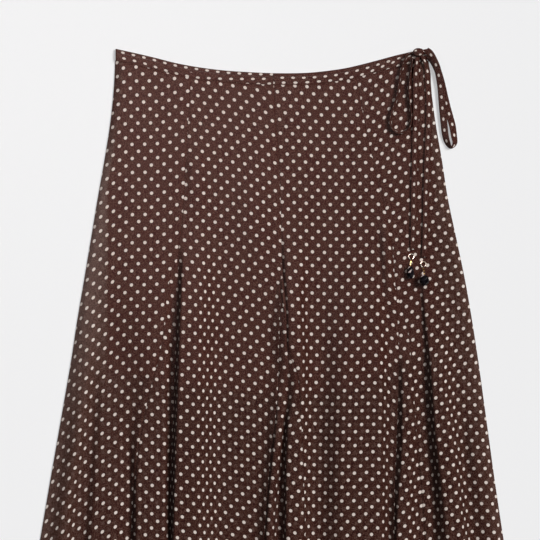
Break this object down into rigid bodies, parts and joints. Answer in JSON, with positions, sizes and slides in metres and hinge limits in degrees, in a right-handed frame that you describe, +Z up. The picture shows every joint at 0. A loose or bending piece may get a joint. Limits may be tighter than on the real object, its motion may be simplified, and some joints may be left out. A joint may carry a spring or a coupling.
{
  "type": "wrap midi skirt",
  "caption": "Long gored skirt of sheer spotted cloth, laid flat face up, with flared inserts, a narrow waistband, a lining and a side bow whose ties end in beads.",
  "frame": {"origin": "centre of the laid skirt's outline, on the surface that it lies on", "axes": "+Y from hem to waist, +X to the right of someone who looks at the front, +Z up out of the front"},
  "size_m": [0.6224, 0.8314, 0.0233],
  "materials": {
    "spotted_cloth": "sheer brown crepe with small pale polka dots, soft low sheen",
    "tie_cloth": "the same spotted crepe, sewn into narrow tubes and pressed",
    "lining_cloth": "plain dark brown lining, smooth",
    "ring_metal": "polished pale metal",
    "gold_metal": "polished gold-coloured metal",
    "black_bead": "faceted, glossy black"
  },
  "bodies": {
    "root": {"front_side_gore_left": "spotted_cloth", "front_centre_gore_left": "spotted_cloth", "front_centre_gore_right": "spotted_cloth", "front_side_gore_right": "spotted_cloth", "front_godet_left": "spotted_cloth", "front_godet_centre": "spotted_cloth", "front_godet_right": "spotted_cloth", "back_panel": "spotted_cloth", "waistband_front_left": "spotted_cloth", "waistband_front_right": "spotted_cloth", "waistband_back": "spotted_cloth", "lining_front": "lining_cloth", "lining_back": "lining_cloth", "bow_knot": "tie_cloth", "bow_loop_left": "tie_cloth", "bow_loop_right": "tie_cloth", "tie_tail_left": "tie_cloth", "tie_tail_right": "tie_cloth", "tie_ring_left": "ring_metal", "tie_ring_right": "ring_metal", "tie_link_left": "gold_metal", "tie_link_right": "gold_metal", "tie_bead_left": "black_bead", "tie_bead_right": "black_bead"}
  },
  "joints": []
}
